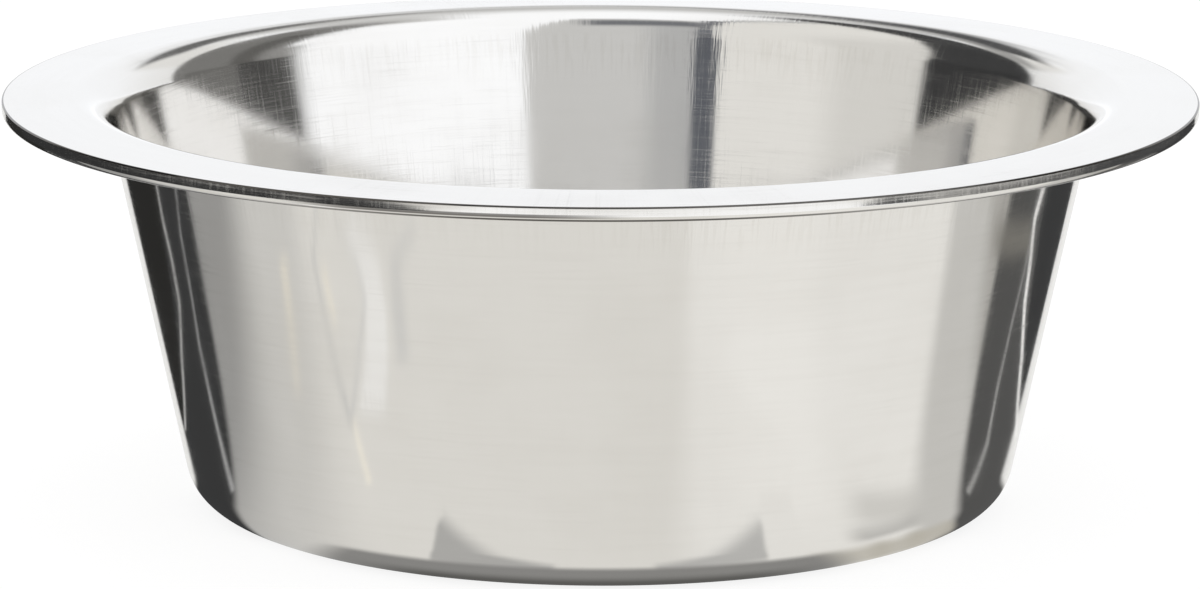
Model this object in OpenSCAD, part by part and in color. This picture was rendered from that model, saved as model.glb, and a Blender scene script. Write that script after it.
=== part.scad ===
// Round feeding bowl, pressed from one disc of stainless steel sheet.
// The origin is at the middle of the floor that the bowl stands on, and +Z is up.
// Every zone is a ring turned about the Z axis, drawn as its section in radius and height.
// Each zone ends square to the sheet, so that neighbouring zones meet face to face.

/* [Sheet] */
// Thickness of the steel sheet
sheet_t = 0.5; // [0.4:0.05:0.8]

/* [Base] */
// Diameter of the flat underside, out to where the corner starts to rise
foot_d = 126; // [90:1:220]
// Width of the flat ring that touches the floor
foot_w = 12; // [6:0.5:20]
// Height of the raised middle of the base above the floor
panel_rise = 0.8; // [0.4:0.1:2]
// Width of the slope between the flat ring and the raised middle
slope_w = 4; // [2:0.5:8]
// Outside radius of the corner between base and wall
corner_r = 8; // [3:0.5:16]

/* [Wall] */
// Height of the bowl, from the floor to the top of the neck
bowl_h = 70.4; // [45:0.1:120]
// Lean of the wall outward from upright, in degrees
wall_lean = 12; // [4:0.5:30]
// Radius of the bend that turns the wall out into the rim, on the side that shows
neck_r = 6.6; // [3:0.1:12]

/* [Rim] */
// Width of the flat part of the rim
rim_w = 11.4; // [5:0.1:25]
// Fall of the rim from its neck to its edge, in degrees
rim_fall = 1.6; // [0:0.1:6]
// Inside radius of the tight fold at the rim's edge
fold_r = 0.1; // [0.05:0.05:1]
// Height of the upright face below the fold
face_h = 0.8; // [0.4:0.1:2]
// Outside radius of the roll below the upright face
roll_r = 1.1; // [0.9:0.1:2.5]
// Gap between the rolled end of the sheet and the underside of the rim
roll_gap = 0.4; // [0.2:0.05:0.6]

/* [Hidden] */

// Colour of the polished steel
steel = [0.8, 0.8, 0.78];
// Facets in a full turn, and steps in the fan that cuts a bend out of a ring
turn_facets = 180;
fan_steps = 10;
// Steps in each small bend of the rolled edge
arc_steps = 10;
// Reach of that fan, as a share of the bend's radius
fan_share = 1.5;

// A point at a distance and a direction from the origin, in degrees from outward
function ray(length, angle) = [length * cos(angle), length * sin(angle)];

// Points along an arc, from one direction to another
function arc(centre, radius, first, last) = [
    for (i = [0:arc_steps]) centre + ray(radius, first + (last - first) * i / arc_steps)
];

// Radii where the zones of the base meet
foot_r = foot_d / 2;
ring_r = foot_r - foot_w;
panel_r = ring_r - slope_w;

// Directions that the sheet faces along the wall and along the rim
wall_out = -wall_lean;
wall_in = 180 - wall_lean;
rim_up = 90 - rim_fall;

// The corner's centre stands over the edge of the flat underside
corner_c = [foot_r, corner_r];

// The wall runs up from the corner until the neck's bend tops out at the bowl's height
wall_rise = bowl_h - neck_r - corner_r + (corner_r - sheet_t + neck_r) * sin(wall_lean);
wall_len = wall_rise / cos(wall_lean);
wall_run = ray(wall_len, 90 - wall_lean);
neck_c = corner_c + ray(corner_r - sheet_t + neck_r, wall_out) + wall_run;

// The rim leaves the neck, and the fold turns it down into the upright face
rim_run = ray(rim_w, -rim_fall);
rim_start = neck_c + ray(neck_r, rim_up);
fold_out_r = fold_r + sheet_t;
fold_c = rim_start + rim_run - ray(fold_out_r, rim_up);

// The roll turns in from the face, and stops short of the rim's underside by the gap
roll_c = fold_c + [fold_out_r - roll_r, -face_h];
roll_room = fold_r + face_h - roll_gap;
roll_angle = 180 + asin(min(1, roll_room / roll_r));

// Turns a section about the bowl's axis
module turned() {
    color(steel) rotate_extrude($fn = turn_facets) children();
}

// Section of a bend in the sheet, with its outer radius, between two directions
module bend(centre, outer_r, first, last) {
    fan = [for (i = [0:fan_steps]) ray(outer_r * fan_share, first + (last - first) * i / fan_steps)];
    translate(centre) intersection() {
        difference() {
            circle(r = outer_r, $fn = turn_facets);
            circle(r = outer_r - sheet_t, $fn = turn_facets);
        }
        polygon(concat([[0, 0]], fan));
    }
}

// Section of a straight run of sheet, from a point on the side that faces up or in
module run(start, along, facing) {
    back = ray(sheet_t, facing);
    polygon([start, start + along, start + along - back, start - back]);
}

// Raised middle of the base, with the slope down to the standing ring
module base_panel() {
    turned() polygon([
        [0, panel_rise],
        [panel_r, panel_rise],
        [ring_r, 0],
        [ring_r, sheet_t],
        [panel_r, panel_rise + sheet_t],
        [0, panel_rise + sheet_t]
    ]);
}

// Flat ring that touches the floor
module standing_ring() {
    turned() translate([ring_r, 0]) square([foot_w, sheet_t]);
}

// Drawn corner between the base and the wall
module base_corner() {
    turned() bend(corner_c, corner_r, -90, wall_out);
}

// Leaning wall
module side_wall() {
    turned() run(corner_c + ray(corner_r - sheet_t, wall_out), wall_run, wall_in);
}

// Bend that turns the wall out into the rim
module neck_bend() {
    turned() bend(neck_c, neck_r, rim_up, wall_in);
}

// Broad rim, falling slightly outward
module flat_rim() {
    turned() run(rim_start, rim_run, rim_up);
}

// Edge of the sheet: a tight fold, an upright face, and an open roll below it
module rolled_edge() {
    turned() polygon(concat(
        arc(fold_c, fold_out_r, rim_up, 0),
        arc(roll_c, roll_r, 0, -roll_angle),
        arc(roll_c, roll_r - sheet_t, -roll_angle, 0),
        arc(fold_c, fold_r, 0, rim_up)
    ));
}

base_panel();
standing_ring();
base_corner();
side_wall();
neck_bend();
flat_rim();
rolled_edge();
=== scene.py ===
"""Round feeding bowl pressed from one disc of polished stainless steel sheet.

The bowl is modelled zone by zone: each zone's section is drawn with a pen in edit mode and spun
round the bowl's axis. All lengths are in metres, +Z is up, and the bowl stands on the XY plane.
"""

import math

import bpy
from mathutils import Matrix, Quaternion, Vector


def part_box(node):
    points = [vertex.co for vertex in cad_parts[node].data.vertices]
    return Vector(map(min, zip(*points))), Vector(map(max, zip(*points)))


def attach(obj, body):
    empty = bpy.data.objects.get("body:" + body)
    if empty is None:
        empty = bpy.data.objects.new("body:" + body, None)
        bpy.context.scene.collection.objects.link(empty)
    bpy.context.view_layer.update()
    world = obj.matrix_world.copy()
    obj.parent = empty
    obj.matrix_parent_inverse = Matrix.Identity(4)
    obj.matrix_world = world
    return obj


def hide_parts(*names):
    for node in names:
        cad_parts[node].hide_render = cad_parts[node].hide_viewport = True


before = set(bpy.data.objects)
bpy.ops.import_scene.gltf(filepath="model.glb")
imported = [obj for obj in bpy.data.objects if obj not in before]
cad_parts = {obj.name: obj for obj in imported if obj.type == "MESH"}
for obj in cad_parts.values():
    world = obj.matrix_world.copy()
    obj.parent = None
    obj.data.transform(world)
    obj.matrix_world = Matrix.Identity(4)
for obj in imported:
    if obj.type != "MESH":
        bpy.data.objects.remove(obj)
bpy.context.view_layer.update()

bl_info = {
    "name": "Pressed Steel Bowl",
    "version": (1, 0, 0),
    "blender": (4, 5, 0),
    "location": "View3D > Sidebar > Bowl",
    "description": "Models a feeding bowl pressed from polished steel sheet, and its studio",
    "category": "Object",
}

BODY = "root"
RIGHT_ANGLE = math.pi / 2

# Millimetres in a metre, and the width of the camera's sensor in them
MILLIMETRES = 1000.0
SENSOR_WIDTH = 36.0

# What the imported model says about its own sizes
RING_LOW, RING_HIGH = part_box("standing_ring")
PANEL_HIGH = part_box("base_panel")[1]
NECK_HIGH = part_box("neck_bend")[1]
EDGE_LOW, EDGE_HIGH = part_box("rolled_edge")


class BowlSizes(bpy.types.PropertyGroup):
    """Sizes of the pressed sheet."""

    sheet: bpy.props.FloatProperty(
        name="Sheet",
        description="Thickness of the steel sheet",
        default=RING_HIGH.z - RING_LOW.z,
        unit="LENGTH",
    )
    foot_radius: bpy.props.FloatProperty(
        name="Foot Radius",
        description="Radius of the flat underside, out to where the corner starts to rise",
        default=RING_HIGH.x,
        unit="LENGTH",
    )
    ring_radius: bpy.props.FloatProperty(
        name="Ring Radius",
        description="Inner radius of the flat ring that touches the floor",
        default=PANEL_HIGH.x,
        unit="LENGTH",
    )
    slope_width: bpy.props.FloatProperty(
        name="Slope Width",
        description="Width of the slope between the flat ring and the raised middle",
        default=0.004,
        unit="LENGTH",
    )
    panel_top: bpy.props.FloatProperty(
        name="Panel Top",
        description="Height of the upper side of the raised middle",
        default=PANEL_HIGH.z,
        unit="LENGTH",
    )
    corner_radius: bpy.props.FloatProperty(
        name="Corner Radius",
        description="Outside radius of the corner between base and wall",
        default=0.008,
        unit="LENGTH",
    )
    wall_lean: bpy.props.FloatProperty(
        name="Wall Lean",
        description="Lean of the wall outward from upright",
        default=math.radians(12),
        unit="ROTATION",
    )
    height: bpy.props.FloatProperty(
        name="Height",
        description="Height of the bowl, to the top of the neck",
        default=NECK_HIGH.z,
        unit="LENGTH",
    )
    neck_radius: bpy.props.FloatProperty(
        name="Neck Radius",
        description="Radius of the bend that turns the wall out into the rim",
        default=0.0066,
        unit="LENGTH",
    )
    rim_fall: bpy.props.FloatProperty(
        name="Rim Fall",
        description="Fall of the rim from its neck to its edge",
        default=math.radians(1.6),
        unit="ROTATION",
    )
    fold_radius: bpy.props.FloatProperty(
        name="Fold Radius",
        description="Outside radius of the tight fold between the rim and its edge",
        default=0.0006,
        unit="LENGTH",
        precision=5,
    )
    crisp_radius: bpy.props.FloatProperty(
        name="Crisp Radius",
        description="Outside radius to which the fold's corner is pressed crisp",
        default=0.00025,
        unit="LENGTH",
        precision=5,
    )
    face_height: bpy.props.FloatProperty(
        name="Face Height",
        description="Height of the upright face of the rolled edge",
        default=0.0008,
        unit="LENGTH",
        precision=5,
    )
    edge_radius: bpy.props.FloatProperty(
        name="Edge Radius",
        description="Radius of the bowl at the upright face of its edge",
        default=EDGE_HIGH.x,
        unit="LENGTH",
    )
    edge_low: bpy.props.FloatProperty(
        name="Edge Low",
        description="Height of the lowest point of the rolled edge",
        default=EDGE_LOW.z,
        unit="LENGTH",
    )
    roll_gap: bpy.props.FloatProperty(
        name="Roll Gap",
        description="Gap between the rolled end of the sheet and the underside of the rim",
        default=0.0004,
        unit="LENGTH",
    )
    quarter_steps: bpy.props.IntProperty(
        name="Quarter Steps",
        description="Steps in a quarter turn round the bowl's axis",
        default=96,
        min=4,
    )
    bend_step: bpy.props.FloatProperty(
        name="Bend Step",
        description="Largest turn of one step along a bend in the sheet",
        default=math.radians(1.4),
        unit="ROTATION",
    )
    roll_step: bpy.props.FloatProperty(
        name="Roll Step",
        description="Largest turn of one step round the small rolled edge",
        default=math.radians(4),
        unit="ROTATION",
    )


class BowlFinish(bpy.types.PropertyGroup):
    """Colour and finish of the steel."""

    steel_colour: bpy.props.FloatVectorProperty(
        name="Steel",
        description="Colour of the polished steel where it faces the eye",
        default=(0.86, 0.845, 0.82),
        subtype="COLOR",
        min=0,
        max=1,
    )
    dull_colour: bpy.props.FloatVectorProperty(
        name="Dull Steel",
        description="Colour of the steel in dull patches and scratches",
        default=(0.79, 0.77, 0.735),
        subtype="COLOR",
        min=0,
        max=1,
    )
    # Colour of the painted shade and painted dark reflections along the edge, not a colour of the steel
    # itself
    painted_shade_colour: bpy.props.FloatVectorProperty(
        name="Creases",
        description="Colour of the dark lines in the creases of the edge",
        default=(0.06, 0.052, 0.045),
        subtype="COLOR",
        min=0,
        max=1,
    )
    gloss_roughness: bpy.props.FloatProperty(
        name="Roughness",
        description="Roughness of the cleanest parts of the polish",
        default=0.07,
        min=0,
        max=1,
    )
    dull_roughness: bpy.props.FloatProperty(
        name="Dull Roughness",
        description="Roughness that dull patches add",
        default=0.06,
        min=0,
        max=1,
    )
    grain_stretch: bpy.props.FloatProperty(
        name="Grain Stretch",
        description="How much the polishing lines smear reflections across them",
        default=0.45,
        min=0,
        max=1,
    )
    line_depth: bpy.props.FloatProperty(
        name="Line Depth",
        description="Depth of the fine lines that polishing leaves round the bowl",
        default=0.0000009,
        unit="LENGTH",
        precision=6,
    )
    wave_depth: bpy.props.FloatProperty(
        name="Wave Depth",
        description="Depth of the shallow waves that drawing leaves in the sheet",
        default=0.00011,
        unit="LENGTH",
        precision=6,
    )
    band_depth: bpy.props.FloatProperty(
        name="Band Depth",
        description="Depth of the broad bands that polishing leaves round the bowl",
        default=0.000001,
        unit="LENGTH",
        precision=6,
    )
    mark_depth: bpy.props.FloatProperty(
        name="Mark Depth",
        description="Depth of the short upright marks that drawing leaves under the rim",
        default=0.000016,
        unit="LENGTH",
        precision=6,
    )


class BowlStage(bpy.types.PropertyGroup):
    """Floor, backdrop and camera."""

    floor_size: bpy.props.FloatProperty(
        name="Floor Size",
        description="Side of the square floor",
        default=6.0,
        unit="LENGTH",
    )
    floor_colour: bpy.props.FloatVectorProperty(
        name="Floor",
        description="Colour of the plain floor in the studio's light",
        default=(0.2, 0.2, 0.2),
        subtype="COLOR",
        min=0,
        max=1,
    )
    floor_glow: bpy.props.FloatProperty(
        name="Floor Glow",
        description="Share of white that the floor shows to the camera where no light falls",
        default=0.86,
        min=0,
        max=1,
    )
    camera_distance: bpy.props.FloatProperty(
        name="Camera Distance",
        description="Distance of the camera from the point that it looks at",
        default=1.1162,
        unit="LENGTH",
    )
    camera_rise: bpy.props.FloatProperty(
        name="Camera Rise",
        description="Angle of the camera above the horizon",
        default=0.2083,
        unit="ROTATION",
    )
    camera_roll: bpy.props.FloatProperty(
        name="Camera Roll",
        description="Turn of the camera about its own view, positive where the bowl's left rises",
        default=math.radians(0.16),
        unit="ROTATION",
    )
    look_height: bpy.props.FloatProperty(
        name="Look Height",
        description="Height on the bowl's axis that the camera looks at",
        default=0.03488,
        unit="LENGTH",
    )
    focal_length: bpy.props.FloatProperty(
        name="Focal Length",
        description="Focal length of the camera, in millimetres on a 36 mm sensor",
        default=195.7,
    )


# Rows of faces across each straight zone of the sheet
PANEL_ROWS = 6
RING_ROWS = 3
WALL_ROWS = 12
RIM_ROWS = 4


def ray(length, angle):
    """A step of this length in the section's plane, at this angle up from outward."""
    return Vector((length * math.cos(angle), 0, length * math.sin(angle)))


class SectionPen:
    """Draws a piece's section in edit mode, as one chain of edges, and spins it round Z."""

    # Side of the small plane that is merged into the first point
    SEED_SIZE = 0.001
    # Distance under which two points are one
    MERGE_DISTANCE = 2e-7
    # Turn of the short first and last step of a bend
    EASE = math.radians(0.2)
    # Angle between faces from which an edge stays sharp
    SHARP_ANGLE = math.radians(40)

    def __init__(self, name, start, heading, sizes):
        bpy.ops.object.select_all(action="DESELECT")
        bpy.ops.mesh.primitive_plane_add(size=self.SEED_SIZE, location=start)
        self.piece = bpy.context.object
        self.piece.name = name
        self.piece.data.name = name
        bpy.ops.object.transform_apply(location=True, rotation=False, scale=False)
        bpy.ops.object.mode_set(mode="EDIT")
        bpy.ops.mesh.merge(type="CENTER")
        self.place = start.copy()
        self.heading = heading
        self.sizes = sizes

    def straight(self, length, rows=1):
        """Draws straight on, in equal rows."""
        step = ray(length / rows, self.heading)
        for _ in range(rows):
            bpy.ops.mesh.extrude_region_move(TRANSFORM_OT_translate={"value": step})
        self.place += step * rows

    def corner(self, angle):
        """Turns on the spot, to the left where the angle is positive."""
        self.heading += angle

    def bend(self, radius, angle, largest_step):
        """Draws a bend of this radius, to the left where the angle is positive.

        A very short first and last step keep the shading true where a bend meets its neighbour.
        """
        side = math.copysign(RIGHT_ANGLE, angle)
        centre = self.place + ray(radius, self.heading + side)
        ease = math.copysign(self.EASE, angle)
        middle = angle - 2 * ease
        steps = math.ceil(abs(middle) / largest_step)
        for turn, count in ((ease, 1), (middle, steps), (ease, 1)):
            bpy.ops.mesh.spin(steps=count, angle=turn, center=centre, axis=(0, 1, 0))
        self.heading += angle
        self.place = centre + ray(radius, self.heading - side)

    def spin(self):
        """Spins a quarter of the piece round Z, mirrors it to the whole, and returns it."""
        bpy.ops.mesh.select_all(action="SELECT")
        bpy.ops.mesh.remove_doubles(threshold=self.MERGE_DISTANCE)
        bpy.ops.mesh.spin(
            steps=self.sizes.quarter_steps, angle=RIGHT_ANGLE, center=(0, 0, 0), axis=(0, 0, 1)
        )
        bpy.ops.object.mode_set(mode="OBJECT")
        bpy.ops.object.modifier_add(type="MIRROR")
        mirror = self.piece.modifiers[0]
        mirror.use_axis = (True, True, False)
        mirror.merge_threshold = self.MERGE_DISTANCE
        bpy.ops.object.modifier_apply(modifier=mirror.name)
        bpy.ops.object.mode_set(mode="EDIT")
        bpy.ops.mesh.select_all(action="SELECT")
        bpy.ops.mesh.remove_doubles(threshold=self.MERGE_DISTANCE)
        bpy.ops.mesh.normals_make_consistent(inside=False)
        bpy.ops.object.mode_set(mode="OBJECT")
        bpy.ops.object.shade_smooth_by_angle(angle=self.SHARP_ANGLE)
        return self.piece


def corner_start(sizes):
    """Where the corner leaves the flat underside, on the outer side of the sheet."""
    return Vector((sizes.foot_radius, 0, 0))


def wall_start(sizes):
    """Where the wall leaves the corner, on the outer side of the sheet."""
    centre = corner_start(sizes) + Vector((0, 0, sizes.corner_radius))
    return centre + ray(sizes.corner_radius, -sizes.wall_lean)


def wall_length(sizes):
    """Length of the straight wall, so that the neck tops out at the bowl's height."""
    reach = sizes.corner_radius - sizes.sheet + sizes.neck_radius
    rise = sizes.height - sizes.neck_radius - sizes.corner_radius
    return (rise + reach * math.sin(sizes.wall_lean)) / math.cos(sizes.wall_lean)


def wall_heading(sizes):
    """Direction of the wall's section, up from outward."""
    return RIGHT_ANGLE - sizes.wall_lean


def neck_start(sizes):
    """Where the neck leaves the wall, on the inner side of the sheet."""
    across = ray(sizes.sheet, math.pi - sizes.wall_lean)
    return wall_start(sizes) + ray(wall_length(sizes), wall_heading(sizes)) + across


def neck_turn(sizes):
    """Turn of the neck, from the wall's heading down to the rim's."""
    return wall_heading(sizes) + sizes.rim_fall


def rim_start(sizes):
    """Where the rim leaves the neck, on its upper side."""
    centre = neck_start(sizes) + ray(sizes.neck_radius, -sizes.wall_lean)
    return centre + ray(sizes.neck_radius, RIGHT_ANGLE - sizes.rim_fall)


def rim_width(sizes):
    """Width of the flat rim, so that the fold brings its edge to the edge's radius."""
    fold = sizes.fold_radius * (1 - math.sin(sizes.rim_fall))
    return (sizes.edge_radius - fold - rim_start(sizes).x) / math.cos(sizes.rim_fall)


def rim_end(sizes):
    """Where the rim meets the fold, on its upper side."""
    return rim_start(sizes) + ray(rim_width(sizes), -sizes.rim_fall)


def roll_radius(sizes):
    """Outside radius of the roll below the upright face."""
    fold = sizes.fold_radius * math.cos(sizes.rim_fall)
    return rim_end(sizes).z - fold - sizes.face_height - sizes.edge_low


def roll_turn(sizes):
    """Turn of the roll, which stops short of the rim's underside by the gap."""
    room = sizes.fold_radius + sizes.face_height - sizes.sheet - sizes.roll_gap
    return math.pi + math.asin(room / roll_radius(sizes))


def base_panel(sizes):
    """Raised middle of the base, with an S-shaped slope down to the standing ring."""
    rise = sizes.panel_top - sizes.sheet
    slope = 2 * math.atan2(rise, sizes.slope_width)
    radius = sizes.slope_width / (2 * math.sin(slope))
    wide = radius + sizes.sheet / 2
    tight = radius - sizes.sheet / 2
    flat = sizes.ring_radius - sizes.slope_width
    pen = SectionPen("base_panel_steel", Vector((0, 0, sizes.panel_top)), 0, sizes)
    pen.straight(flat, PANEL_ROWS)
    pen.bend(wide, -slope, sizes.bend_step)
    pen.bend(tight, slope, sizes.bend_step)
    pen.corner(-RIGHT_ANGLE)
    pen.straight(sizes.sheet)
    pen.corner(-RIGHT_ANGLE)
    pen.bend(wide, -slope, sizes.bend_step)
    pen.bend(tight, slope, sizes.bend_step)
    pen.straight(flat, PANEL_ROWS)
    return pen.spin()


def straight_zone(name, start, heading, length, rows, sizes):
    """A straight zone of the sheet, drawn up one side and down the other."""
    pen = SectionPen(name, start, heading, sizes)
    pen.straight(length, rows)
    pen.corner(RIGHT_ANGLE)
    pen.straight(sizes.sheet)
    pen.corner(RIGHT_ANGLE)
    pen.straight(length, rows)
    pen.corner(RIGHT_ANGLE)
    pen.straight(sizes.sheet)
    return pen.spin()


def bent_zone(name, start, heading, radius, turn, step, sizes):
    """A bent zone of the sheet, drawn along its outer side and back along its inner side."""
    side = math.copysign(RIGHT_ANGLE, turn)
    pen = SectionPen(name, start, heading, sizes)
    pen.bend(radius, turn, step)
    pen.corner(side)
    pen.straight(sizes.sheet)
    pen.corner(side)
    pen.bend(radius - sizes.sheet, -turn, step)
    pen.corner(side)
    pen.straight(sizes.sheet)
    return pen.spin()


def standing_ring(sizes):
    """Flat ring that touches the floor."""
    start = Vector((sizes.ring_radius, 0, 0))
    width = sizes.foot_radius - sizes.ring_radius
    return straight_zone("standing_ring_steel", start, 0, width, RING_ROWS, sizes)


def base_corner(sizes):
    """Drawn corner between the base and the wall."""
    return bent_zone(
        "base_corner_steel",
        corner_start(sizes),
        0,
        sizes.corner_radius,
        wall_heading(sizes),
        sizes.bend_step,
        sizes,
    )


def side_wall(sizes):
    """Leaning wall."""
    return straight_zone(
        "side_wall_steel",
        wall_start(sizes),
        wall_heading(sizes),
        wall_length(sizes),
        WALL_ROWS,
        sizes,
    )


def neck_bend(sizes):
    """Bend that turns the wall out into the rim."""
    return bent_zone(
        "neck_bend_steel",
        neck_start(sizes),
        wall_heading(sizes),
        sizes.neck_radius,
        -neck_turn(sizes),
        sizes.bend_step,
        sizes,
    )


def flat_rim(sizes):
    """Broad rim, falling slightly outward."""
    below = ray(sizes.sheet, -RIGHT_ANGLE - sizes.rim_fall)
    return straight_zone(
        "flat_rim_steel",
        rim_start(sizes) + below,
        -sizes.rim_fall,
        rim_width(sizes),
        RIM_ROWS,
        sizes,
    )


def rolled_edge(sizes):
    """Edge of the sheet: a crisp fold, an upright face, and an open roll below it.

    The fold's outer corner is pressed crisper than its inner one alone would leave it.
    """
    fold = RIGHT_ANGLE - sizes.rim_fall
    crisp = (sizes.fold_radius - sizes.crisp_radius) * math.tan(fold / 2)
    roll = roll_radius(sizes)
    turn = roll_turn(sizes)
    pen = SectionPen("rolled_edge_steel", rim_end(sizes), -sizes.rim_fall, sizes)
    pen.straight(crisp)
    pen.bend(sizes.crisp_radius, -fold, sizes.roll_step)
    pen.straight(crisp + sizes.face_height)
    pen.bend(roll, -turn, sizes.roll_step)
    pen.corner(-RIGHT_ANGLE)
    pen.straight(sizes.sheet)
    pen.corner(-RIGHT_ANGLE)
    pen.bend(roll - sizes.sheet, turn, sizes.roll_step)
    pen.straight(sizes.face_height)
    pen.bend(sizes.fold_radius - sizes.sheet, fold, sizes.roll_step)
    pen.corner(-RIGHT_ANGLE)
    pen.straight(sizes.sheet)
    return pen.spin()


# Spread of the nodes in the node editor
NODE_COLUMNS = 12
NODE_STEP_X = 200
NODE_STEP_Y = 300


def place_node(tree, kind, inputs=None, **settings):
    """Adds a node, sets its settings, and gives each input a value or a link."""
    node = tree.nodes.new(kind)
    row, column = divmod(len(tree.nodes), NODE_COLUMNS)
    node.location = (column * NODE_STEP_X, -row * NODE_STEP_Y)
    for key, value in settings.items():
        setattr(node, key, value)
    for key, value in (inputs or {}).items():
        if isinstance(value, bpy.types.NodeSocket):
            tree.links.new(value, node.inputs[key])
        else:
            node.inputs[key].default_value = value
    return node


def maths(tree, operation, first, second=0.0, third=0.0, clamp=False):
    """Adds a Math node and returns its output."""
    inputs = {0: first, 1: second, 2: third}
    node = place_node(tree, "ShaderNodeMath", inputs, operation=operation, use_clamp=clamp)
    return node.outputs[0]


def vector_maths(tree, operation, inputs):
    """Adds a Vector Math node and returns its outputs."""
    return place_node(tree, "ShaderNodeVectorMath", inputs, operation=operation).outputs


def soft_step(tree, value, start, end):
    """A smooth rise from 0 at the start to 1 at the end."""
    inputs = {"Value": value, "From Min": start, "From Max": end}
    node = place_node(tree, "ShaderNodeMapRange", inputs, interpolation_type="SMOOTHSTEP")
    return node.outputs["Result"]


def soft_edge(tree, beyond, edge):
    """A smooth fall from 1 to 0 over an edge of this width, by the distance beyond its middle."""
    half = maths(tree, "MULTIPLY", edge, 0.5)
    return soft_step(tree, beyond, half, maths(tree, "MULTIPLY", half, -1.0))


def mix_colour(tree, share, first, second):
    """Mixes two colours, each a value or a link, and returns the mix."""
    # A Mix node has its colours in sockets 6 and 7, and their mix in output 2
    inputs = {0: share, 6: first, 7: second}
    return place_node(tree, "ShaderNodeMix", inputs, data_type="RGBA").outputs[2]


def empty_tree(owner):
    """Empties the node tree of a new material or world, and returns the tree."""
    owner.use_nodes = True
    owner.node_tree.nodes.clear()
    return owner.node_tree


def new_group(name, inputs, outputs):
    """Makes a shader node group from inputs (name, type, default) and outputs (name, type)."""
    group = bpy.data.node_groups.new(name, "ShaderNodeTree")
    for title, kind, default in inputs:
        socket = group.interface.new_socket(title, in_out="INPUT", socket_type=kind)
        if default is not None:
            socket.default_value = default
    for title, kind in outputs:
        group.interface.new_socket(title, in_out="OUTPUT", socket_type=kind)
    start = place_node(group, "NodeGroupInput")
    end = place_node(group, "NodeGroupOutput")
    return group, start.outputs, end.inputs


def use_group(tree, group, inputs):
    """Places a node group and returns its outputs."""
    return place_node(tree, "ShaderNodeGroup", inputs, node_tree=group).outputs


FLOAT = "NodeSocketFloat"
VECTOR = "NodeSocketVector"

# Streaks that the steel carries
HAIRLINES = {"Round": 6.0, "Across": 4200.0, "Detail": 2.0}
BANDS = {"Round": 1.6, "Across": 420.0, "Detail": 3.0}
DRAWING_MARKS = {"Round": 110.0, "Across": 100.0, "Detail": 2.0}
SCRATCHES = {"Round": 300.0, "Across": 90.0, "Detail": 1.0}

# Patches and waves of the sheet
DULL_CLOUDS = {"Scale": 34.0, "Detail": 3.0}
MARK_PATCHES = {"Scale": 16.0, "Detail": 1.0}
WAVES = {"Scale": 26.0, "Detail": 1.0}

# In every pair below, a mask is 0 at the first value and 1 at the second

# Levels of their noise between which patches, marks, bands and fine lines come in
CLOUD_LEVELS = (0.42, 0.66)
MARK_LEVELS = (0.48, 0.62)
BAND_LEVELS = (0.4, 0.7)
HAIRLINE_LEVELS = (0.5, 0.75)
ROUGH_LEVELS = (0.45, 0.8)

# Shares of the dull colour that each of them brings, and marks bring more in their patches
BAND_TONE = 0.12
DULL_TONE = 0.25
HAIRLINE_TONE = 0.14
MARK_TONE = 0.15
MARK_PATCH_TONE = 0.3

# Roughness that the finest ones add
HAIRLINE_ROUGHNESS = 0.08
SCRATCH_ROUGHNESS = 0.06

# Turn of the smear of reflections, in full turns, from along the fine lines to across them
SMEAR_TURN = 0.25

# Heights over which drawing marks come in as relief, come in as tone, and go out as tone
MARKS_COME = (0.046, 0.064)
DARK_MARKS_COME = (0.056, 0.064)
DARK_MARKS_GO = (0.0665, 0.0655)

# Painted shade and dark reflections of the edge: distances in from its radius, and up from its corner
# or low point
CORNER_IN = (0.00036, 0.00026)
CORNER_UP = (-0.00008, 0.00002)
ROLL_IN = (0.003, 0.0024)
UNDER_UP = (0.00052, 0.0004)
PAINTED_BAND_COMES = (0.00058, 0.00072)
PAINTED_BAND_GOES = (0.0013, 0.00116)
PAINTED_SHADE_SHARE = 0.92
PAINTED_BAND_SHARE = 0.85

# Middles of the two painted dark lines that go only part of the way round, and their reach as cosines
FRONT = (0.0, -1.0, 0.0)
FRONT_REACH = (0.76, 1.0)
PAINTED_BAND_MIDDLE = (-0.23, -0.973, 0.0)
PAINTED_BAND_REACH = (0.955, 0.995)


def round_bowl_group():
    """Turns object coordinates into a direction round the bowl and a run along its section."""
    group, given, out = new_group(
        "round_the_bowl",
        [("Position", VECTOR, None)],
        [("Direction", VECTOR), ("Run", FLOAT), ("Height", FLOAT)],
    )
    split = place_node(group, "ShaderNodeSeparateXYZ", {0: given["Position"]}).outputs
    flat = place_node(group, "ShaderNodeCombineXYZ", {"X": split["X"], "Y": split["Y"]}).outputs[0]
    radius = vector_maths(group, "LENGTH", {0: flat})["Value"]
    towards = vector_maths(group, "NORMALIZE", {0: flat})["Vector"]
    run = maths(group, "ADD", radius, split["Z"])
    group.links.new(towards, out["Direction"])
    group.links.new(run, out["Run"])
    group.links.new(split["Z"], out["Height"])
    return group


def streaks_group():
    """Streaks on the bowl: so many to a radian round it, and so many to a metre of section."""
    group, given, out = new_group(
        "streaks",
        [
            ("Direction", VECTOR, None),
            ("Run", FLOAT, 0.0),
            ("Round", FLOAT, 5.0),
            ("Across", FLOAT, 3000.0),
            ("Detail", FLOAT, 2.0),
        ],
        [("Height", FLOAT)],
    )
    scale = {0: given["Direction"], "Scale": given["Round"]}
    around = vector_maths(group, "SCALE", scale)["Vector"]
    up = maths(group, "MULTIPLY", given["Run"], given["Across"])
    lift = place_node(group, "ShaderNodeCombineXYZ", {"Z": up}).outputs[0]
    spot = vector_maths(group, "ADD", {0: around, 1: lift})["Vector"]
    settings = {"Vector": spot, "Scale": 1.0, "Detail": given["Detail"], "Roughness": 0.6}
    noise = place_node(group, "ShaderNodeTexNoise", settings)
    group.links.new(noise.outputs["Fac"], out["Height"])
    return group


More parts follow.
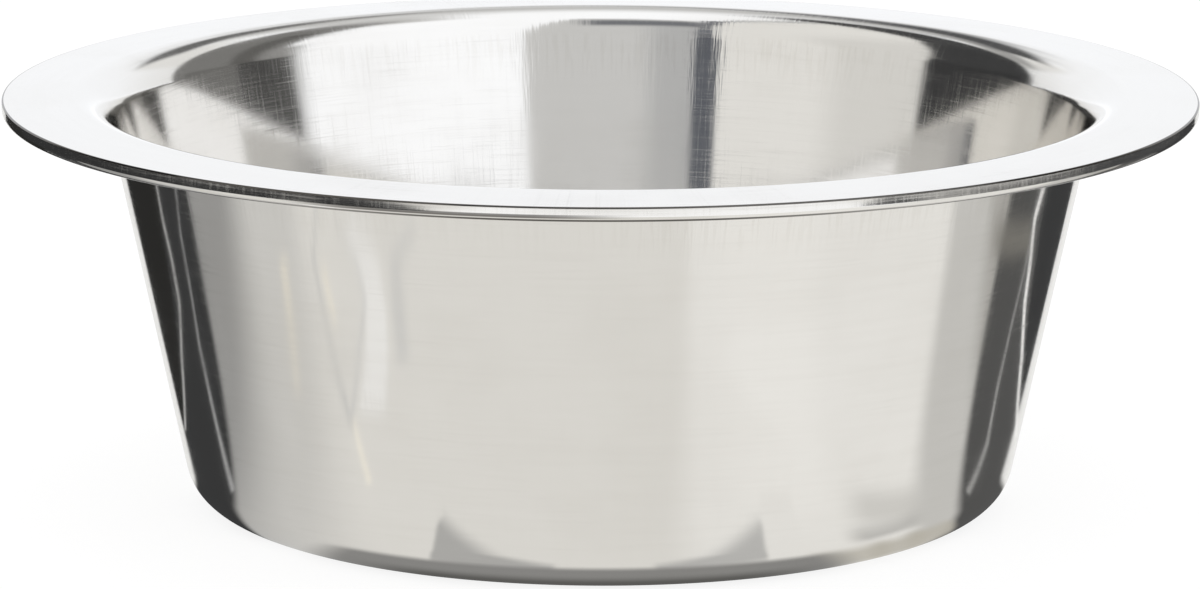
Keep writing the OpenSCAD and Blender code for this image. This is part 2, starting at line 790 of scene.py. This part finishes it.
def clouds_group():
    """Soft patches on the steel, as a mask from 0 to 1."""
    group, given, out = new_group(
        "clouds",
        [("Position", VECTOR, None), ("Scale", FLOAT, 30.0), ("Detail", FLOAT, 3.0)],
        [("Mask", FLOAT)],
    )
    settings = {"Vector": given["Position"], "Scale": given["Scale"], "Detail": given["Detail"]}
    noise = place_node(group, "ShaderNodeTexNoise", settings).outputs["Fac"]
    group.links.new(soft_step(group, noise, *CLOUD_LEVELS), out["Mask"])
    return group


# Level of white, and how much redder and less blue a grey is for each step of warmth
WHITE_LEVEL = 255
WARM_RED = 0.6
WARM_BLUE = 1.4


def linear_light(shown):
    """Linear light of a value from 0 to 1 on the sRGB curve."""
    return shown / 12.92 if shown <= 0.04045 else ((shown + 0.055) / 1.055) ** 2.4


def seen_in_steel(grey, warmth=0):
    """Light that the steel shows as this level of grey, warmer where warmth is positive."""
    steel = bpy.context.scene.bowl_finish.steel_colour
    levels = (grey + WARM_RED * warmth, grey, grey - WARM_BLUE * warmth)
    shown = [linear_light(max(level, 0) / WHITE_LEVEL) for level in levels]
    return (*(light / own for light, own in zip(shown, steel)), 1.0)


def studio_band_group():
    """A band of the studio between two bearings and two heights, with soft edges."""
    group, given, out = new_group(
        "studio_band",
        [
            ("Bearing", FLOAT, 0.0),
            ("Rise", FLOAT, 0.0),
            ("Middle", FLOAT, 0.0),
            ("Half Width", FLOAT, 10.0),
            ("Side Edge", FLOAT, 2.0),
            ("Low", FLOAT, -90.0),
            ("High", FLOAT, 90.0),
            ("End Edge", FLOAT, 2.0),
        ],
        [("Mask", FLOAT)],
    )
    off = maths(group, "SUBTRACT", given["Bearing"], given["Middle"])
    off = maths(group, "ABSOLUTE", maths(group, "WRAP", off, 180.0, -180.0))
    aside = maths(group, "SUBTRACT", off, given["Half Width"])
    below = maths(group, "SUBTRACT", given["Low"], given["Rise"])
    above = maths(group, "SUBTRACT", given["Rise"], given["High"])
    mask = soft_edge(group, aside, given["Side Edge"])
    for beyond in (below, above):
        mask = maths(group, "MULTIPLY", mask, soft_edge(group, beyond, given["End Edge"]))
    group.links.new(mask, out["Mask"])
    return group


def studio_panel_group():
    """A panel on a flat map, with soft edges, and wider at its far end where it tapers."""
    group, given, out = new_group(
        "studio_panel",
        [
            ("Place", VECTOR, None),
            ("Middle", VECTOR, None),
            ("Turn", FLOAT, 0.0),
            ("Half Length", FLOAT, 20.0),
            ("Half Width", FLOAT, 10.0),
            ("Taper", FLOAT, 0.0),
            ("Side Edge", FLOAT, 3.0),
            ("End Edge", FLOAT, 3.0),
        ],
        [("Mask", FLOAT)],
    )
    turn = place_node(group, "ShaderNodeCombineXYZ", {"Z": given["Turn"]}).outputs[0]
    local = place_node(
        group,
        "ShaderNodeMapping",
        {"Vector": given["Place"], "Location": given["Middle"], "Rotation": turn},
        vector_type="TEXTURE",
    ).outputs[0]
    split = place_node(group, "ShaderNodeSeparateXYZ", {0: local}).outputs
    length = maths(group, "SUBTRACT", maths(group, "ABSOLUTE", split["X"]), given["Half Length"])
    half = maths(group, "MULTIPLY_ADD", given["Taper"], split["X"], given["Half Width"])
    width = maths(group, "SUBTRACT", maths(group, "ABSOLUTE", split["Y"]), half)
    end_mask = soft_edge(group, length, given["End Edge"])
    side_mask = soft_edge(group, width, given["Side Edge"])
    group.links.new(maths(group, "MULTIPLY", end_mask, side_mask), out["Mask"])
    return group


class StudioPaint:
    """Lays soft-edged shapes over each other on a flat map of what the steel reflects."""

    # Half the length and width of a panel that covers all of one side of a line
    REACH = 400

    def __init__(self, tree, panel_group, place, grey, warmth=0):
        self.tree = tree
        self.panel_group = panel_group
        self.place = place
        self.colour = seen_in_steel(grey, warmth)

    def lay(self, mask, grey, warmth, share):
        """Mixes a tone over the map where the mask is white."""
        if share != 1:
            mask = maths(self.tree, "MULTIPLY", mask, share)
        self.colour = mix_colour(self.tree, mask, self.colour, seen_in_steel(grey, warmth))

    def panel(self, start, finish, halves, grey, warmth=0, edge=3, end=3, share=1):
        """Lays a panel along a line, between the half widths at its two ends."""
        first, last = Vector(start), Vector(finish)
        along = last - first
        length = along.length
        inputs = {
            "Place": self.place,
            "Middle": (*((first + last) / 2), 0),
            "Turn": math.atan2(along.y, along.x),
            "Half Length": length / 2,
            "Half Width": (halves[0] + halves[1]) / 2,
            "Taper": (halves[1] - halves[0]) / length,
            "Side Edge": edge,
            "End Edge": end,
        }
        mask = use_group(self.tree, self.panel_group, inputs)["Mask"]
        self.lay(mask, grey, warmth, share)

    def strip(self, points, half, grey, warmth=0, edge=2, share=1):
        """Lays a narrow strip along a run of points."""
        for start, finish in zip(points, points[1:]):
            first, last = Vector(start), Vector(finish)
            over = (last - first).normalized() * edge / 2
            self.panel(first - over, last + over, (half, half), grey, warmth, edge, edge, share)

    def side(self, start, finish, grey, warmth=0, edge=3, share=1):
        """Lays a tone over all that lies to the left of a line, as one walks along it."""
        first, last = Vector(start), Vector(finish)
        along = (last - first).normalized() * self.REACH
        left = Vector((-along.y, along.x))
        middle = (first + last) / 2 + left
        halves = (self.REACH, self.REACH)
        self.panel(middle - along, middle + along, halves, grey, warmth, edge, edge, share)


class SkyPaint(StudioPaint):
    """The studio above the table: a map with the zenith in its middle, in degrees."""

    def __init__(self, tree, panel_group, grey, warmth=0):
        view = place_node(tree, "ShaderNodeTexCoord").outputs["Generated"]
        split = place_node(tree, "ShaderNodeSeparateXYZ", {0: view}).outputs
        bearing = maths(tree, "ARCTAN2", split["X"], split["Y"])
        self.bearing = maths(tree, "DEGREES", bearing)
        self.rise = maths(tree, "DEGREES", maths(tree, "ARCSINE", split["Z"]))
        from_top = maths(tree, "SUBTRACT", 90.0, self.rise)
        right = maths(tree, "MULTIPLY", from_top, maths(tree, "SINE", bearing))
        back = maths(tree, "MULTIPLY", from_top, maths(tree, "COSINE", bearing))
        flat = place_node(tree, "ShaderNodeCombineXYZ", {"X": right, "Y": back}).outputs[0]
        super().__init__(tree, panel_group, flat, grey, warmth)
        self.band_group = studio_band_group()

    def band(self, bearings, rises, grey, warmth=0, edge=3, end=4, share=1):
        """Lays a band between two bearings and two heights."""
        left, right = bearings
        inputs = {
            "Bearing": self.bearing,
            "Rise": self.rise,
            "Middle": (left + right) / 2,
            "Half Width": (right - left) / 2,
            "Side Edge": edge,
            "Low": rises[0],
            "High": rises[1],
            "End Edge": end,
        }
        mask = use_group(self.tree, self.band_group, inputs)["Mask"]
        self.lay(mask, grey, warmth, share)


def paint_sky(tree):
    """The studio that the steel reflects. Bearings run clockwise from behind the bowl."""
    sky = SkyPaint(tree, studio_panel_group(), 251)
    # Left wall, in shade toward the corner
    sky.side((-11, -90), (-11, 90), 240, 1, edge=14)
    sky.side((-17, -90), (-17, 90), 220, 4, edge=2)
    sky.panel((-44, -4), (-120, -4), (26, 60), 206, 4, edge=20, end=24)
    # Front, behind the camera, with a dark top
    sky.panel((-3, -9), (-2, -90), (11, 31), 194, 2, edge=4, end=6)
    sky.panel((-15, -30), (-26, -80), (6, 9), 174, 1, edge=10, end=12)
    sky.panel((-6, -13), (-9, -31), (9, 12), 112, -2, edge=6, end=12)
    sky.side((2.5, -6), (21.5, -59), 251, edge=2.5)
    # Dark gaps between the left wall and the front
    sky.strip([(-16, 22), (-18, 14), (-17, 6), (-16, -7)], 1.2, 160, 1)
    sky.strip([(-15, -6), (-17.3, -16), (-19, -26), (-22, -36)], 1.4, 112, -2)
    sky.panel((-22, -36), (-25.3, -47), (1.8, 2.4), 108, -3, edge=2)
    sky.panel((-25.3, -47), (-29.5, -58), (2.4, 2.9), 100, -3, edge=2)
    sky.panel((-29.5, -58), (-36.5, -75), (2.9, 5), 90, -4, edge=2)
    # Ceiling behind the bowl, with a soft shade across it
    sky.side((-100, 33), (100, 33), 251, edge=4)
    sky.panel((0, 30), (0, 59), (21, 21), 186, 2, edge=12, end=32)
    sky.panel((24, 58), (140, 44), (18, 60), 219, 3, edge=8, end=10)
    sky.panel((-24, 58), (-140, 44), (18, 60), 220, 3, edge=8, end=10)
    sky.panel((-42, 50), (-110, 46), (7, 30), 181, 2, edge=8, end=22)
    sky.panel((-17, 42), (-44, 43), (3, 5), 156, 2, edge=5, end=8)
    sky.panel((13, 34), (20, 8), (5, 5), 196, 2, edge=8, end=8)
    # White wall behind the bowl
    sky.band((-62, 62), (-5, 24), 224, 2, edge=8, end=5)
    sky.band((-42, 38), (-5, 24), 240, edge=44, end=5)
    sky.band((-180, 180), (-5, 4), 250, end=4)
    # Flags of black cloth, left and right
    sky.panel((-11, 27), (-45, 28.5), (4.5, 12.5), 62, edge=4, end=6)
    sky.panel((-40, 28), (-92, 24.5), (12.5, 34.5), 58, edge=4, end=6)
    sky.panel((19, 21.5), (90, 22.5), (7.5, 34), 116, 2, edge=4, end=10)
    sky.panel((32, 16), (80, 10), (4, 6), 90, 2, edge=5, end=6)
    sky.panel((56, 1), (84, -8), (5, 9), 138, 2, edge=9, end=10)
    sky.band((269, 302), (-4, 12), 52, edge=2)
    sky.band((60, 81), (-4, 12), 104, 2, edge=2)
    sky.band((81, 99), (-4, 12), 68, 1, edge=3)
    # Dark wings of the ceiling, left and right
    sky.panel((0, 66), (-5, 58), (3, 4), 168, 1, edge=8, end=8)
    sky.panel((-2, 59), (-12, 50.5), (3, 5.5), 76, -1, edge=7, end=6)
    sky.panel((-8, 51.5), (-28, 48.5), (6, 5.5), 80, edge=6, end=6)
    sky.panel((5, 51), (27, 53), (6, 6.5), 101, 1, edge=6, end=8)
    # Table far off, below the horizon, and the dark room over its front edge
    sky.band((-180, 180), (-91, -2), 210, 3, end=3)
    sky.band((115, 245), (-4, 6), 90, 2, edge=20, end=4)
    return sky.colour


# Half the width over which the table's left side turns into its right, in millimetres
HALF_BLEND = 6.0

# Distances from the bowl's axis at which its shade on the table comes in, in millimetres
SHADE_COMES = (73.2, 70.6)
DEEP_SHADE_COMES = (69.2, 66.0)


def paint_table(tree, place):
    """The table that the steel reflects, in millimetres, with the bowl in its middle."""
    table = StudioPaint(tree, studio_panel_group(), place, 213, 4.5)
    across = place_node(tree, "ShaderNodeSeparateXYZ", {0: place}).outputs["X"]
    left = soft_step(tree, across, HALF_BLEND, -HALF_BLEND)
    right = soft_step(tree, across, -HALF_BLEND, HALF_BLEND)
    # Grey paper in front, and its shades to the left
    table.side((-170, -86), (-60, -59), 196, 3.5, edge=22, share=left)
    table.side((-400, -28), (-70, -35), 148, 2, edge=36, share=left)
    # and to the right
    table.side((14, -66), (54, -178), 224, 4, edge=12, share=right)
    table.panel((46, -74), (190, -300), (12, 60), 228, 4, edge=22, end=12, share=right)
    table.panel((60, -63), (73, -40), (5, 5), 194, 4, edge=8, end=12, share=0.8)
    table.side((60, -45), (170, -45), 191, 3.5, edge=9, share=right)
    table.side((60, -17), (200, -4), 168, 4, edge=18, share=right)
    # Dark cloth, blacker behind its fold
    table.side((-200, 27), (-71, -28), 54, edge=4, share=left)
    table.side((71, -30), (194, 20), 80, 1, edge=5, share=right)
    table.side((-205, 92), (-90, 26), 40, 1, edge=2, share=left)
    table.side((90, 35), (205, 94), 57, edge=2, share=right)
    # White paper behind the bowl
    table.panel((1.5, 0), (1.5, 1000), (77, 504), 223, 3, edge=3, end=8)
    # Bright folds in the cloth
    table.strip([(-205, 90), (-180, 73), (-166, 59), (-146, 45), (-121, 40), (-90, 27)], 1.6, 172, 2)
    fold_left = [(-205, 46), (-178, 40), (-158, 29), (-132, 16), (-111, 1), (-78, -24)]
    fold_right = [(205, 84), (163, 52), (141, 32), (116, 11), (95, -4), (78, -23)]
    table.strip(fold_left, 0.8, 165, 1, edge=1.5)
    table.strip(fold_right, 0.9, 160, 2, edge=1.5)
    table.strip([(205, 94), (183, 66), (163, 61), (145, 52), (120, 47), (86, 30)], 2.4, 238, 3)
    # Small things and their soft edges, to the right and in front on the left
    table.panel((178, 2), (176, 60), (8, 7), 122, 5, edge=10, end=16, share=0.8)
    table.panel((-150, -67), (-103, -58), (3, 1.2), 210, 9, edge=3)
    table.panel((-132, -91), (-112, -87), (1.8, 1.2), 222, 10, edge=2)
    table.strip([(-152, -99), (-138, -87), (-118, -83), (-97, -79), (-80, -76)], 0.8, 186, 2)
    table.strip([(-131, -115), (-112, -114), (-100, -107), (-90, -98), (-79, -86)], 5.5, 227, 3, edge=3)
    table.strip([(-140, -108), (-120, -109), (-107, -105), (-96, -91), (-82, -77)], 0.7, 196, 2)
    table.strip([(-100, -140), (-103, -126), (-92, -116), (-80, -106)], 3, 201, 3, edge=4)
    table.strip([(-80, -77), (-62, -72)], 0.9, 226, 9)
    # Darker patches in front of the bowl, two of them with one sharp side, and the bowl's painted shade
    # under it
    reach = vector_maths(tree, "LENGTH", {0: place})["Value"]
    near_foot = soft_step(tree, reach, *SHADE_COMES)
    under_foot = soft_step(tree, reach, *DEEP_SHADE_COMES)
    table.panel((-38, -71), (-8, -71), (8, 1.5), 158, 2, edge=5, end=2, share=0.85)
    table.panel((-30, -57), (-46, -81), (4.5, 4.5), 213, 4.5, edge=1.5, end=2)
    table.panel((38.5, -71), (10, -71), (7, 1.5), 170, 2, edge=5, end=2, share=0.85)
    table.panel((29.7, -57), (46.5, -81), (4.5, 4.5), 223, 4, edge=1.5, end=2)
    table.panel((51, -58.5), (67, -43.5), (3.2, 1), 164, 3, edge=5, end=8, share=0.7)
    table.strip([(38, -57), (48, -49), (55, -42), (61, -34)], 3.5, 176, 8, edge=5, share=0.85)
    table.panel((-3, -40), (-3, -100), (44, 44), 132, 2, edge=9, end=10, share=near_foot)
    table.panel((-2, -40), (-2, -100), (34, 34), 88, 2, edge=20, end=10, share=under_foot)
    # White paper far in front, and black cloth far to either side
    table.panel((-200, -400), (330, -350), (150, 150), 246, 1, edge=40, end=60)
    table.panel((-320, -440), (-520, 420), (110, 180), 48, edge=16, end=30)
    table.panel((350, -330), (520, 420), (50, 190), 66, edge=20, end=30)
    return table.colour


def studio_world():
    """White to the camera, plain white light on the floor, and the studio in reflections."""
    world = bpy.data.worlds.new("studio")
    bpy.context.scene.world = world
    tree = empty_tree(world)
    seen = paint_sky(tree)
    shine = place_node(tree, "ShaderNodeBackground", {"Color": seen, "Strength": 1.0})
    plain = place_node(
        tree, "ShaderNodeBackground", {"Color": (1.0, 1.0, 1.0, 1.0), "Strength": 1.0}
    )
    path = place_node(tree, "ShaderNodeLightPath").outputs
    mix = place_node(
        tree,
        "ShaderNodeMixShader",
        {0: path["Is Glossy Ray"], 1: plain.outputs[0], 2: shine.outputs[0]},
    )
    place_node(tree, "ShaderNodeOutputWorld", {"Surface": mix.outputs[0]})


def near_direction(tree, bowl, middle, reach):
    """A mask that is 1 in this direction on the bowl and 0 away from it."""
    turn = vector_maths(tree, "DOT_PRODUCT", {0: bowl["Direction"], 1: middle})["Value"]
    return soft_step(tree, turn, *reach)


def painted_edge_shade(tree, bowl, sizes):
    """Painted dark lines along the edge: a painted dark reflection at its upper corner, a painted
    shadow under its roll, and a painted dark reflection between face and roll.
    """
    up = bowl["Height"]
    out = maths(tree, "SUBTRACT", bowl["Run"], up)
    corner_low = rim_end(sizes).z - sizes.crisp_radius

    def by_radius(distances):
        return soft_step(tree, out, *(sizes.edge_radius - distance for distance in distances))

    def by_height(base, rises):
        return soft_step(tree, up, *(base + rise for rise in rises))

    # Painted dark reflection along the fold's upper corner
    corner = maths(tree, "MULTIPLY", by_height(corner_low, CORNER_UP), by_radius(CORNER_IN))
    at_roll = by_radius(ROLL_IN)
    # Painted shadow under the roll, on the bowl's front only
    under = maths(tree, "MULTIPLY", by_height(sizes.edge_low, UNDER_UP), at_roll)
    ahead = near_direction(tree, bowl, FRONT, FRONT_REACH)
    under = maths(tree, "MULTIPLY", under, ahead)
    painted_dark_lines = maths(tree, "MAXIMUM", corner, under)
    # Painted dark reflection between the face and the roll, on part of the front
    painted_dark_band = near_direction(tree, bowl, PAINTED_BAND_MIDDLE, PAINTED_BAND_REACH)
    painted_dark_band = maths(tree, "MULTIPLY", painted_dark_band, at_roll)
    for rises in (PAINTED_BAND_COMES, PAINTED_BAND_GOES):
        painted_dark_band = maths(tree, "MULTIPLY", painted_dark_band, by_height(sizes.edge_low, rises))
    painted_dark_band = maths(tree, "MULTIPLY", painted_dark_band, PAINTED_BAND_SHARE)
    painted_dark_lines = maths(tree, "MAXIMUM", painted_dark_lines, painted_dark_band)
    return maths(tree, "MULTIPLY", painted_dark_lines, PAINTED_SHADE_SHARE)


def steel_marks(tree, position, bowl):
    """The noise behind every mark of the steel, by the mark's name."""
    streaks = streaks_group()
    clouds = clouds_group()

    def streak(along, kind):
        inputs = {"Direction": bowl["Direction"], "Run": bowl[along], **kind}
        return use_group(tree, streaks, inputs)["Height"]

    def cloud(kind):
        return use_group(tree, clouds, {"Position": position, **kind})["Mask"]

    return {
        "hairlines": streak("Run", HAIRLINES),
        "bands": streak("Run", BANDS),
        "upright": streak("Height", DRAWING_MARKS),
        "scratches": streak("Height", SCRATCHES),
        "dull": cloud(DULL_CLOUDS),
        "patches": cloud(MARK_PATCHES),
    }


def steel_colour(tree, bowl, marks, finish):
    """Colour: duller and warmer in patches, in broad bands, on drawing marks and fine lines."""
    coming = soft_step(tree, bowl["Height"], *DARK_MARKS_COME)
    going = soft_step(tree, bowl["Height"], *DARK_MARKS_GO)
    upright = soft_step(tree, marks["upright"], *MARK_LEVELS)
    tone = maths(tree, "MULTIPLY", upright, maths(tree, "MULTIPLY", coming, going))
    patchy = maths(tree, "MULTIPLY_ADD", marks["patches"], MARK_PATCH_TONE, MARK_TONE)
    tone = maths(tree, "MULTIPLY", tone, patchy)
    bands = soft_step(tree, marks["bands"], *BAND_LEVELS)
    tone = maths(tree, "MULTIPLY_ADD", bands, BAND_TONE, tone)
    tone = maths(tree, "MULTIPLY_ADD", marks["dull"], DULL_TONE, tone)
    hairlines = soft_step(tree, marks["hairlines"], *HAIRLINE_LEVELS)
    tone = maths(tree, "MULTIPLY_ADD", hairlines, HAIRLINE_TONE, tone, clamp=True)
    return mix_colour(tree, tone, (*finish.steel_colour, 1.0), (*finish.dull_colour, 1.0))


def steel_roughness(tree, marks, finish):
    """Roughness: dull patches, fine lines and fine scratches spread the reflections."""
    clean = finish.gloss_roughness
    rough = maths(tree, "MULTIPLY_ADD", marks["dull"], finish.dull_roughness, clean)
    for name, share in (("hairlines", HAIRLINE_ROUGHNESS), ("scratches", SCRATCH_ROUGHNESS)):
        lines = soft_step(tree, marks[name], *ROUGH_LEVELS)
        rough = maths(tree, "MULTIPLY_ADD", lines, share, rough)
    return rough


def steel_relief(tree, position, bowl, marks, finish):
    """Relief: waves, drawing marks that fade out below the neck, bands and fine lines."""
    wave = place_node(tree, "ShaderNodeTexNoise", {"Vector": position, **WAVES}).outputs["Fac"]
    rising = soft_step(tree, bowl["Height"], *MARKS_COME)
    fading = maths(tree, "MULTIPLY", rising, marks["patches"])
    upright = maths(tree, "MULTIPLY", marks["upright"], fading)
    normal = None
    for height, depth in (
        (wave, finish.wave_depth),
        (upright, finish.mark_depth),
        (marks["bands"], finish.band_depth),
        (marks["hairlines"], finish.line_depth),
    ):
        inputs = {"Height": height, "Distance": depth, "Strength": 1.0}
        if normal is not None:
            inputs["Normal"] = normal
        normal = place_node(tree, "ShaderNodeBump", inputs).outputs[0]
    return normal


def polished_steel():
    """Polished steel with fine lines round it, shallow waves, upright drawing marks, and painted shade
    and dark reflections along its edge.
    """
    name = "polished steel"
    if name in bpy.data.materials:
        return bpy.data.materials[name]
    scene = bpy.context.scene
    finish = scene.bowl_finish
    material = bpy.data.materials.new(name)
    tree = empty_tree(material)
    position = place_node(tree, "ShaderNodeTexCoord").outputs["Object"]
    bowl = use_group(tree, round_bowl_group(), {"Position": position})
    marks = steel_marks(tree, position, bowl)
    colour = steel_colour(tree, bowl, marks, finish)
    # Painted shade and painted dark reflections along the edge, mixed over the steel's colour
    painted_shade = painted_edge_shade(tree, bowl, scene.bowl_sizes)
    tangent = place_node(tree, "ShaderNodeTangent", direction_type="RADIAL", axis="Z").outputs[0]
    steel = place_node(
        tree,
        "ShaderNodeBsdfPrincipled",
        {
            "Base Color": mix_colour(tree, painted_shade, colour, (*finish.painted_shade_colour, 1.0)),
            "Metallic": 1.0,
            "Roughness": steel_roughness(tree, marks, finish),
            "Anisotropic": finish.grain_stretch,
            "Anisotropic Rotation": SMEAR_TURN,
            "Normal": steel_relief(tree, position, bowl, marks, finish),
            "Tangent": tangent,
        },
    )
    place_node(tree, "ShaderNodeOutputMaterial", {"Surface": steel.outputs[0]})
    return material


def finish_piece(piece, node):
    """Gives a finished piece its steel and its body, and hides the CAD node that it stands for."""
    piece.data.materials.clear()
    piece.data.materials.append(polished_steel())
    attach(piece, BODY)
    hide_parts(node)


class OBJECT_OT_bowl_base_panel(bpy.types.Operator):
    """Add the raised middle of the base"""

    bl_idname = "object.bowl_base_panel"
    bl_label = "Base Panel"

    def execute(self, context):
        finish_piece(base_panel(context.scene.bowl_sizes), "base_panel")
        return {"FINISHED"}


class OBJECT_OT_bowl_standing_ring(bpy.types.Operator):
    """Add the flat ring that touches the floor"""

    bl_idname = "object.bowl_standing_ring"
    bl_label = "Standing Ring"

    def execute(self, context):
        finish_piece(standing_ring(context.scene.bowl_sizes), "standing_ring")
        return {"FINISHED"}


class OBJECT_OT_bowl_base_corner(bpy.types.Operator):
    """Add the drawn corner between base and wall"""

    bl_idname = "object.bowl_base_corner"
    bl_label = "Base Corner"

    def execute(self, context):
        finish_piece(base_corner(context.scene.bowl_sizes), "base_corner")
        return {"FINISHED"}


class OBJECT_OT_bowl_side_wall(bpy.types.Operator):
    """Add the leaning wall"""

    bl_idname = "object.bowl_side_wall"
    bl_label = "Side Wall"

    def execute(self, context):
        finish_piece(side_wall(context.scene.bowl_sizes), "side_wall")
        return {"FINISHED"}


class OBJECT_OT_bowl_neck_bend(bpy.types.Operator):
    """Add the bend that turns the wall out into the rim"""

    bl_idname = "object.bowl_neck_bend"
    bl_label = "Neck Bend"

    def execute(self, context):
        finish_piece(neck_bend(context.scene.bowl_sizes), "neck_bend")
        return {"FINISHED"}


class OBJECT_OT_bowl_flat_rim(bpy.types.Operator):
    """Add the broad rim"""

    bl_idname = "object.bowl_flat_rim"
    bl_label = "Flat Rim"

    def execute(self, context):
        finish_piece(flat_rim(context.scene.bowl_sizes), "flat_rim")
        return {"FINISHED"}


class OBJECT_OT_bowl_rolled_edge(bpy.types.Operator):
    """Add the edge, folded down and rolled under"""

    bl_idname = "object.bowl_rolled_edge"
    bl_label = "Rolled Edge"

    def execute(self, context):
        finish_piece(rolled_edge(context.scene.bowl_sizes), "rolled_edge")
        return {"FINISHED"}


def white_floor(stage):
    """Plain pale floor under the bowl, which keeps the bowl's soft shadow.

    The steel reflects, in its place, a painted table of the studio with the bowl's painted shade near
    its foot, which the floor shows only to reflections.
    """
    bpy.ops.object.select_all(action="DESELECT")
    bpy.ops.mesh.primitive_plane_add(size=stage.floor_size, location=(0, 0, 0))
    floor = bpy.context.object
    floor.name = "floor"
    material = bpy.data.materials.new("plain floor")
    tree = empty_tree(material)
    path = place_node(tree, "ShaderNodeLightPath").outputs
    matt = place_node(tree, "ShaderNodeBsdfDiffuse", {"Color": (*stage.floor_colour, 1.0)})
    glow = maths(tree, "MULTIPLY", path["Is Camera Ray"], stage.floor_glow)
    light = place_node(tree, "ShaderNodeEmission", {"Strength": glow})
    both = place_node(tree, "ShaderNodeAddShader", {0: matt.outputs[0], 1: light.outputs[0]})
    position = place_node(tree, "ShaderNodeTexCoord").outputs["Object"]
    place = vector_maths(tree, "SCALE", {0: position, "Scale": MILLIMETRES})["Vector"]
    # A glow of the painted table and painted shade, shown only to reflections
    table = place_node(tree, "ShaderNodeEmission", {"Color": paint_table(tree, place)})
    seen = place_node(
        tree,
        "ShaderNodeMixShader",
        {0: path["Is Glossy Ray"], 1: both.outputs[0], 2: table.outputs[0]},
    )
    place_node(tree, "ShaderNodeOutputMaterial", {"Surface": seen.outputs[0]})
    floor.data.materials.append(material)


def stage_camera(stage):
    """Camera at the photograph's viewing angle."""
    data = bpy.data.cameras.new("camera")
    data.lens = stage.focal_length
    data.sensor_width = SENSOR_WIDTH
    camera = bpy.data.objects.new("camera", data)
    bpy.context.scene.collection.objects.link(camera)
    aim = Vector((0, 0, stage.look_height))
    back = Vector((0, -math.cos(stage.camera_rise), math.sin(stage.camera_rise)))
    camera.location = aim + back * stage.camera_distance
    roll = Quaternion((0, 0, 1), stage.camera_roll)
    camera.rotation_euler = ((-back).to_track_quat("-Z", "Y") @ roll).to_euler()
    data.clip_start = 0.01
    bpy.context.scene.camera = camera


class OBJECT_OT_bowl_stage(bpy.types.Operator):
    """Add the floor, the studio's light and the camera"""

    bl_idname = "object.bowl_stage"
    bl_label = "Stage"

    def execute(self, context):
        scene = context.scene
        stage = scene.bowl_stage
        white_floor(stage)
        studio_world()
        stage_camera(stage)
        scene.view_settings.view_transform = "Standard"
        return {"FINISHED"}


PIECE_OPERATORS = (
    OBJECT_OT_bowl_base_panel,
    OBJECT_OT_bowl_standing_ring,
    OBJECT_OT_bowl_base_corner,
    OBJECT_OT_bowl_side_wall,
    OBJECT_OT_bowl_neck_bend,
    OBJECT_OT_bowl_flat_rim,
    OBJECT_OT_bowl_rolled_edge,
    OBJECT_OT_bowl_stage,
)


class VIEW3D_PT_bowl(bpy.types.Panel):
    """Lists the bowl's sizes, finish, pieces and stage"""

    bl_idname = "VIEW3D_PT_bowl"
    bl_label = "Pressed Steel Bowl"
    bl_space_type = "VIEW_3D"
    bl_region_type = "UI"
    bl_category = "Bowl"

    def draw(self, context):
        layout = self.layout
        scene = context.scene
        for title, group in (
            ("Sizes", scene.bowl_sizes),
            ("Finish", scene.bowl_finish),
            ("Stage", scene.bowl_stage),
        ):
            box = layout.box()
            box.label(text=title)
            for key in group.__annotations__:
                box.prop(group, key)
        for operator in PIECE_OPERATORS:
            layout.operator(operator.bl_idname)


CLASSES = (BowlSizes, BowlFinish, BowlStage, *PIECE_OPERATORS, VIEW3D_PT_bowl)


def register():
    """Registers the classes and hangs their settings on the scene."""
    for item in CLASSES:
        bpy.utils.register_class(item)
    bpy.types.Scene.bowl_sizes = bpy.props.PointerProperty(type=BowlSizes)
    bpy.types.Scene.bowl_finish = bpy.props.PointerProperty(type=BowlFinish)
    bpy.types.Scene.bowl_stage = bpy.props.PointerProperty(type=BowlStage)


def unregister():
    """Takes the settings off the scene and unregisters the classes."""
    del bpy.types.Scene.bowl_stage
    del bpy.types.Scene.bowl_finish
    del bpy.types.Scene.bowl_sizes
    for item in reversed(CLASSES):
        bpy.utils.unregister_class(item)


def main():
    register()
    bpy.ops.object.bowl_base_panel()
    bpy.ops.object.bowl_standing_ring()
    bpy.ops.object.bowl_base_corner()
    bpy.ops.object.bowl_side_wall()
    bpy.ops.object.bowl_neck_bend()
    bpy.ops.object.bowl_flat_rim()
    bpy.ops.object.bowl_rolled_edge()
    bpy.ops.object.bowl_stage()


if __name__ == "__main__":
    main()
